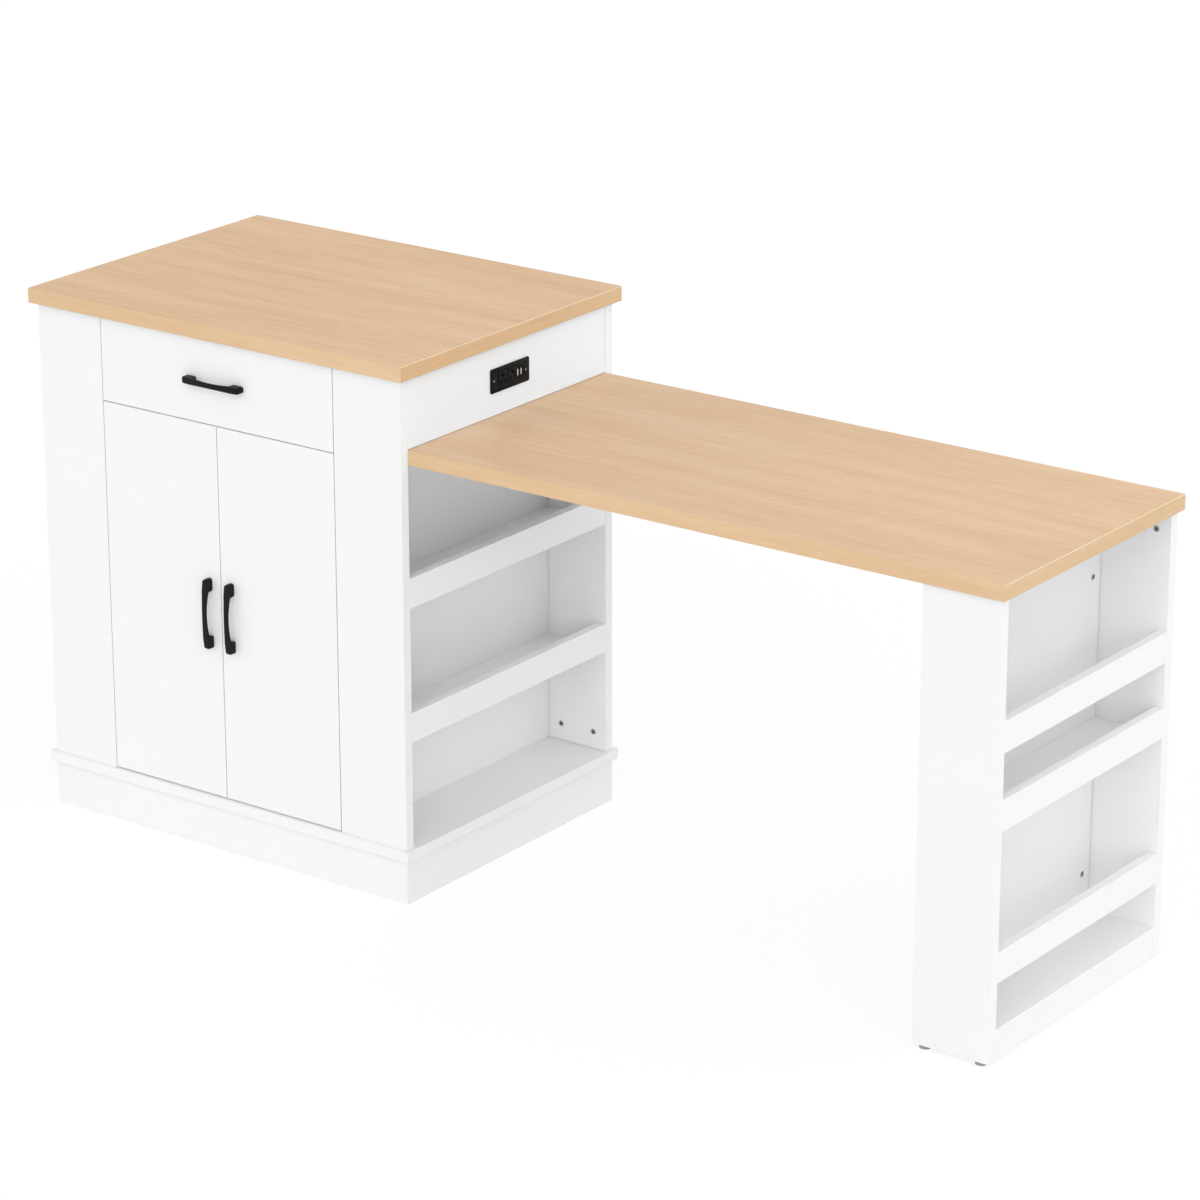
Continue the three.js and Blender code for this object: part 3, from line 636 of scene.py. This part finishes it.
def add_wing(shape, centre_x, back, centre_z, up):
    """Adds a cup's wing to a bmesh: a flat tongue with a round end that goes up (1) or down (-1)."""
    half = wing_width / 2
    outline = [(-half, wing_start), (half, wing_start)]
    for i in range(wing_steps + 1):
        angle = math.pi * i / wing_steps
        outline.append((half * math.cos(angle), wing_end - half + half * math.sin(angle)))
    faces = []
    for y in (back, back + wing_thickness):
        faces.append([shape.verts.new((centre_x + u, y, centre_z + up * v)) for u, v in outline])
    base, top = faces
    shape.faces.new(base)
    shape.faces.new(top[::-1])
    for i in range(len(base)):
        j = (i + 1) % len(base)
        shape.faces.new((base[j], base[i], top[i], top[j]))


for side, way in (("left", 1), ("right", -1)):
    body = f"door_{side}"
    white_piece(body, body, front_edge)
    wings = bmesh.new()
    wing_heads, arm_heads = [], []
    for level in ("lower", "upper"):
        cup, arm = f"hinge_cup_{side}_{level}", f"hinge_arm_{side}_{level}"
        refinish(cup, zinc_plate)
        refinish(arm, zinc_plate)
        low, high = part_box(cup)
        centre_x, centre_z, back = (low.x + high.x) / 2, (low.z + high.z) / 2, high.y
        for up in (-1, 1):
            add_wing(wings, centre_x, back, centre_z, up)
            spot = (centre_x, back + wing_thickness, centre_z + up * wing_screw_rise)
            wing_heads.append((spot, (0, 1, 0)))
        low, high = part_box(arm)
        wall = low.x if way > 0 else high.x
        for up in (-1, 1):
            plate_face = wall + way * arm_plate
            spot = (plate_face, high.y - plate_screw_setback, centre_z + up * plate_screw_rise)
            arm_heads.append((spot, (way, 0, 0)))
        for setback in block_screw_setbacks:
            arm_heads.append(((wall + way * arm_block, high.y - setback, centre_z), (way, 0, 0)))
    smoothed(wings, f"hinge_wings_{side}", zinc_plate, body)
    set_heads(f"hinge_wing_screws_{side}", wing_heads, wing_screw, zinc_plate, body, seed=21)
    set_heads(f"hinge_arm_screws_{side}", arm_heads, arm_screw, zinc_plate, "frame", seed=22)


# ---- Pulls
# Three cast pulls with a matt black powder coat: an arched flat bar between two blocky feet, with bevelled
# edges. Each is held by two screws from behind.
def coated_finish(name, light, dark, rough, grain, strength):
    """Powder coat or moulded plastic: even, with a fine texture."""
    material, tree, shader, place = finish_of(name)
    shader.inputs["Specular IOR Level"].default_value = 0.12
    spots = speckled(tree, place, grain, cloud=30 * grain)
    dress(
        tree,
        shader,
        mixed(tree, spots.outputs["Cloud"], dark, light),
        mask=spots.outputs["Grain"],
        rough_range=(rough - 0.07, rough + 0.07),
        texture=spots.outputs["Grain"],
        strength=strength,
        height=grain / 5,
    )
    return material


black_coat = coated_finish(
    "black_powder_coat",
    (0.009, 0.009, 0.0095),
    (0.006, 0.006, 0.0065),
    rough=0.46,
    grain=0.0005,
    strength=0.35,
)
pull_edge = 0.0008
pull_screw = head_sizes(
    radius=0.004, height=0.0016, flatness=0.9, cross_length=0.0052, cross_width=0.0011, cross_depth=0.0014
)
pull_screw_inset = 0.01175  # from a pull's end to a screw
front_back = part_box("drawer_front")[1].y  # the back face of the drawer front and of the doors
for node, body, along in (
    ("drawer_pull", "drawer", axis_x),
    ("door_pull_left", "door_left", axis_z),
    ("door_pull_right", "door_right", axis_z),
):
    pull = eased_copy(node, pull_edge, cuts=1, corner=28)
    smoothed(pull, f"{node}_coated", black_coat, body, [node], crease=26)
    low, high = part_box(node)
    heads = []
    for place in (low[along] + pull_screw_inset, high[along] - pull_screw_inset):
        spot = (low + high) / 2
        spot[along] = place
        spot.y = front_back
        heads.append((tuple(spot), (0, 1, 0)))
    set_heads(f"{node}_screws", heads, pull_screw, zinc_plate, body, seed=31)

# ---- Power unit
# A black moulded plate with two socket modules and two USB openings, held by a brass screw at each end.
# The housing behind it, with its cord inlet, is plain dull black plastic.
black_plastic = coated_finish(
    "black_plastic",
    (0.0030, 0.0054, 0.0076),
    (0.0020, 0.0038, 0.0054),
    rough=0.36,
    grain=0.0009,
    strength=0.2,
)
housing_plastic = coated_finish(
    "housing_plastic",
    (0.0020, 0.0020, 0.0021),
    (0.0012, 0.0012, 0.0013),
    rough=0.6,
    grain=0.0009,
    strength=0.2,
)
tongue_plastic = coated_finish(
    "tongue_plastic", (0.68, 0.64, 0.58), (0.60, 0.565, 0.51), rough=0.45, grain=0.0009, strength=0.15
)
nickel_brass = metal_finish(
    "nickel_brass", (0.52, 0.49, 0.45), (0.44, 0.41, 0.37), rough=0.3, grain=0.0005
)
refinish("power_housing", housing_plastic)
plate_low, plate_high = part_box("power_plate")
plate_mid = (plate_low + plate_high) / 2
plate_size = plate_high - plate_low
plate_corner = 0.003
plate_edge = 0.0005


def rounded(width, height, radius, u=0.0, v=0.0, steps=6):
    """Points round a rectangle with rounded corners and its middle at u, v."""
    points = []
    for turn, (sx, sy) in enumerate(((1, 1), (-1, 1), (-1, -1), (1, -1))):
        corner_u, corner_v = u + sx * (width / 2 - radius), v + sy * (height / 2 - radius)
        for i in range(steps + 1):
            angle = math.pi / 2 * (turn + i / steps)
            points.append((corner_u + radius * math.cos(angle), corner_v + radius * math.sin(angle)))
    return points


def holed_sheet(name, outline, holes, back, front, edge, finish, replaced=()):
    """A sheet facing +x with holes and softened edges, drawn in y and z round the middle of the power plate.

    back and front are the places of its two faces, from the plate's back face.
    """
    curve = bpy.data.curves.new(name, "CURVE")
    curve.dimensions = "2D"
    curve.fill_mode = "BOTH"
    curve.extrude = (front - back) / 2 - edge
    curve.bevel_depth = edge
    curve.bevel_resolution = 2
    curve.offset = -edge
    for points in [outline] + [hole[::-1] for hole in holes]:
        spline = curve.splines.new("POLY")
        spline.points.add(len(points) - 1)
        for entry, (u, v) in zip(spline.points, points):
            entry.co = (u, v, 0, 1)
        spline.use_cyclic_u = True
    drawn = bpy.data.objects.new(name, curve)
    scene.collection.objects.link(drawn)
    mesh = bpy.data.meshes.new_from_object(drawn.evaluated_get(bpy.context.evaluated_depsgraph_get()))
    bpy.data.objects.remove(drawn)
    shape = bmesh.new()
    shape.from_mesh(mesh)
    bpy.data.meshes.remove(mesh)
    middle = plate_low.x + (back + front) / 2
    for vert in shape.verts:
        u, v, w = vert.co
        vert.co = (middle + w, plate_mid.y + u, plate_mid.z + v)
    bmesh.ops.remove_doubles(shape, verts=shape.verts, dist=same_place)
    smoothed(shape, name, finish, "frame", replaced)


# places along the plate are measured from its middle towards the unit's back
socket_places = (-0.0203, 0.0051)
module_size = (0.0240, 0.0246)
module_corner = 0.0012
module_edge = 0.0004
module_back = 0.0002
module_proud = 0.0005  # past the plate's face
blade_slot = (0.0022, 0.007)
blade_corner = 0.0004
half_blade_spacing = 0.00635
blade_drop = 0.005
earth_hole = 0.0056
earth_corner = 0.00279  # nearly half the hole's width, so that it is round
earth_rise = 0.0052
window_sides = (-0.0335, 0.0175)  # of the hole in the plate that holds both modules
window_height = 0.0254
window_corner = 0.0006
usb_places = (0.0209, 0.0296)
usb_size = (0.005, 0.0125)
usb_corner = 0.0009
tongue_size = (0.0031, 0.0106)
tongue_corner = 0.0012
tongue_edge = 0.0003
tongue_back, tongue_front = -0.001, 0.0016
window_width, window_middle = window_sides[1] - window_sides[0], (window_sides[0] + window_sides[1]) / 2
window = rounded(window_width, window_height, window_corner, window_middle)
usb_openings = [rounded(*usb_size, usb_corner, place) for place in usb_places]
holed_sheet(
    "power_plate_face",
    rounded(plate_size.y, plate_size.z, plate_corner),
    [window] + usb_openings,
    back=0,
    front=plate_size.x,
    edge=plate_edge,
    finish=black_plastic,
    replaced=["power_plate"],
)
for index, place in enumerate(socket_places):
    blades = [place - half_blade_spacing, place + half_blade_spacing]
    holes = [rounded(*blade_slot, blade_corner, blade, -blade_drop) for blade in blades]
    holes.append(rounded(earth_hole, earth_hole, earth_corner, place, earth_rise))
    holed_sheet(
        f"socket_module_{index + 1}",
        rounded(*module_size, module_corner, place),
        holes,
        back=module_back,
        front=plate_size.x + module_proud,
        edge=module_edge,
        finish=black_plastic,
    )
for index, place in enumerate(usb_places):
    holed_sheet(
        f"usb_tongue_{index + 1}",
        rounded(*tongue_size, tongue_corner, place),
        [],
        back=tongue_back,
        front=tongue_front,
        edge=tongue_edge,
        finish=tongue_plastic,
    )
plate_screw = head_sizes(
    radius=0.0017, height=0.0008, flatness=0.8, cross_length=0.0024, cross_width=0.0005, cross_depth=0.0006
)
plate_screw_places = (-0.0425, 0.0400)
plate_heads = [((plate_high.x, plate_mid.y + u, plate_mid.z), (1, 0, 0)) for u in plate_screw_places]
set_heads("plate_screws", plate_heads, plate_screw, nickel_brass, "frame", seed=41)

# ---- Glides
# The leg stands on four round grey plastic glides. Each is screwed up into the lower edge of a panel: two
# into the front panel and two into the back panel.
grey_plastic = coated_finish(
    "grey_plastic", (0.36, 0.36, 0.35), (0.28, 0.28, 0.275), rough=0.5, grain=0.0008, strength=0.3
)
for node in "glide_front_left glide_front_right glide_back_left glide_back_right".split():
    refinish(node, grey_plastic)


# ---- Oak tops
# The worktop and the lower table are 25 mm particle board under a light oak foil with fine straight grain
# along the length. Their edges carry a band of the same oak, so the grain of an end runs along that end.
def sums(tree, terms):
    """The sum of (value - 0.5) * weight over the terms."""
    total = 0.0
    for value, weight in terms:
        centred = wire(tree, "ShaderNodeMath", {0: value, 1: 0.5}, operation="SUBTRACT")
        total = wire(
            tree,
            "ShaderNodeMath",
            {0: centred.outputs[0], 1: weight, 2: total},
            operation="MULTIPLY_ADD",
        ).outputs[0]
    return total


long_grain, given, result = new_group(
    "long_grain",
    [("Position", "Vector"), ("Band Width", "Float"), ("Streak Width", "Float")],
    [("Tone", "Float"), ("Pores", "Float"), ("Height", "Float")],
)
# the grain sways a little from side to side
sway_width, sway_length, sway_reach = 0.4, 0.35, 0.03
place = given.outputs["Position"]
sway = stretched_noise(long_grain, place, sway_width, sway_length, detail=1.0, seed=3.1)
sway = wire(long_grain, "ShaderNodeMath", {0: sway, 1: 0.5}, operation="SUBTRACT")
sway = wire(long_grain, "ShaderNodeMath", {0: sway.outputs[0], 1: sway_reach}, operation="MULTIPLY")
shift = wire(long_grain, "ShaderNodeCombineXYZ", {"Y": sway.outputs[0], "Z": sway.outputs[0]})
place = wire(
    long_grain, "ShaderNodeVectorMath", {0: place, 1: shift.outputs[0]}, operation="ADD"
).outputs[0]
# broad bands, streaks in them, fibres of a quarter of a streak's width, and dark pores
band_length, streak_length, fibre_length = 0.55, 0.13, 0.030
fibre_share = 0.25
pore_width, pore_length = 0.0005, 0.012
pore_start, pore_full = 0.66, 0.76
band_width, streak_width = given.outputs["Band Width"], given.outputs["Streak Width"]
fibre_width = wire(long_grain, "ShaderNodeMath", {0: streak_width, 1: fibre_share}, operation="MULTIPLY")
bands = stretched_noise(long_grain, place, band_width, band_length, detail=2.0, seed=0.0)
streaks = stretched_noise(long_grain, place, streak_width, streak_length, detail=3.0, seed=1.3)
fibres = stretched_noise(long_grain, place, fibre_width.outputs[0], fibre_length, detail=2.0, seed=2.2)
pores = stretched_noise(long_grain, place, pore_width, pore_length, detail=1.0, seed=4.9)
pore_mask = wire(
    long_grain, "ShaderNodeMapRange", {"Value": pores, "From Min": pore_start, "From Max": pore_full}
)
tone = sums(long_grain, [(bands, 0.85), (streaks, 0.8), (fibres, 0.75)])
relief = sums(long_grain, [(fibres, 1.0), (pores, -0.6)])
long_grain.links.new(tone, result.inputs["Tone"])
long_grain.links.new(pore_mask.outputs[0], result.inputs["Pores"])
long_grain.links.new(relief, result.inputs["Height"])

oak_bands, oak_streaks = 0.05, 0.006
tone_swing = 0.3  # the tone that gives the lightest colour, and below zero the darkest
pore_depth = 0.16
pore_colour = (0.33, 0.18, 0.08)
oak_bounce = (0.60, 0.60, 0.60)  # the light that oak throws on the white boards beside it stays white


def oak_finish(name, light, dark, rough, turned=False):
    """Oak foil. turned lays the grain along y, for the band on a top's end."""
    material, tree, shader, place = finish_of(name)
    shader.inputs["Specular IOR Level"].default_value = 0.3
    if turned:
        quarter = (0, 0, math.pi / 2)
        place = wire(tree, "ShaderNodeMapping", {"Vector": place, "Rotation": quarter}).outputs[0]
    grain = wire(
        tree,
        "ShaderNodeGroup",
        {"Position": place, "Band Width": oak_bands, "Streak Width": oak_streaks},
        node_tree=long_grain,
    )
    spread = wire(
        tree,
        "ShaderNodeMapRange",
        {"Value": grain.outputs["Tone"], "From Min": -tone_swing, "From Max": tone_swing},
    ).outputs[0]
    colour = mixed(tree, spread, dark, light)
    pore_share = wire(
        tree, "ShaderNodeMath", {0: grain.outputs["Pores"], 1: pore_depth}, operation="MULTIPLY"
    )
    colour = mixed(tree, pore_share.outputs[0], colour, pore_colour)
    bounced = wire(tree, "ShaderNodeLightPath").outputs["Is Diffuse Ray"]
    dress(
        tree,
        shader,
        mixed(tree, bounced, colour, oak_bounce),
        mask=spread,
        rough_range=(rough + 0.05, rough - 0.03),
        texture=grain.outputs["Height"],
        strength=0.25,
        height=0.0002,
    )
    return material


worktop_foil = oak_finish("oak_worktop_foil", (0.781, 0.542, 0.330), (0.668, 0.434, 0.244), rough=0.48)
table_foil = oak_finish("oak_table_foil", (0.745, 0.520, 0.319), (0.643, 0.419, 0.236), rough=0.41)
side_band = oak_finish("oak_band", (0.774, 0.549, 0.336), (0.693, 0.465, 0.266), rough=0.5)
table_end_band = oak_finish(
    "oak_table_end_band", (0.755, 0.547, 0.332), (0.668, 0.458, 0.26), rough=0.5, turned=True
)
worktop_end_band = oak_finish(
    "oak_end_band", (0.75, 0.50, 0.283), (0.66, 0.417, 0.219), rough=0.5, turned=True
)
# between foil and band, a lighter colour on the eased edge paints a highlight along a top's right end
painted_edge_highlight = oak_finish(
    "oak_painted_edge_highlight", (0.89, 0.76, 0.57), (0.83, 0.68, 0.49), rough=0.35, turned=True
)
foil_faces, side_faces, end_faces, highlight_faces = range(4)
foil_tilt = 0.6  # least rise of a foil face's normal
highlight_tilt = 0.3  # least rise and least turn to the right of the eased edge that carries the painted highlight
top_edge = 0.0008
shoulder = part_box("front_board_right")[1].x  # where the table's front corner meets the cupboard's side
shoulder_gap = 0.0005
for node, foil, end_band in (
    ("worktop", worktop_foil, worktop_end_band),
    ("tabletop", table_foil, table_end_band),
):
    board = eased_copy(node, top_edge)
    if node == "tabletop":
        for vert in board.verts:
            if abs(vert.co.x - shoulder) < edge_reach * top_edge:
                vert.co.x += shoulder_gap
    for face in board.faces:
        normal = face.normal
        face.smooth = max(map(abs, normal)) < flat_enough
        # the eased edge between the foil and the right end gets the lighter colour of the painted highlight
        if normal.x > highlight_tilt and normal.z > highlight_tilt:
            face.material_index = highlight_faces
        elif abs(normal.z) > foil_tilt:
            face.material_index = foil_faces
        else:
            face.material_index = end_faces if abs(normal.x) > abs(normal.y) else side_faces
    new_piece(f"{node}_board", board, [foil, side_band, end_band, painted_edge_highlight], "frame", [node])
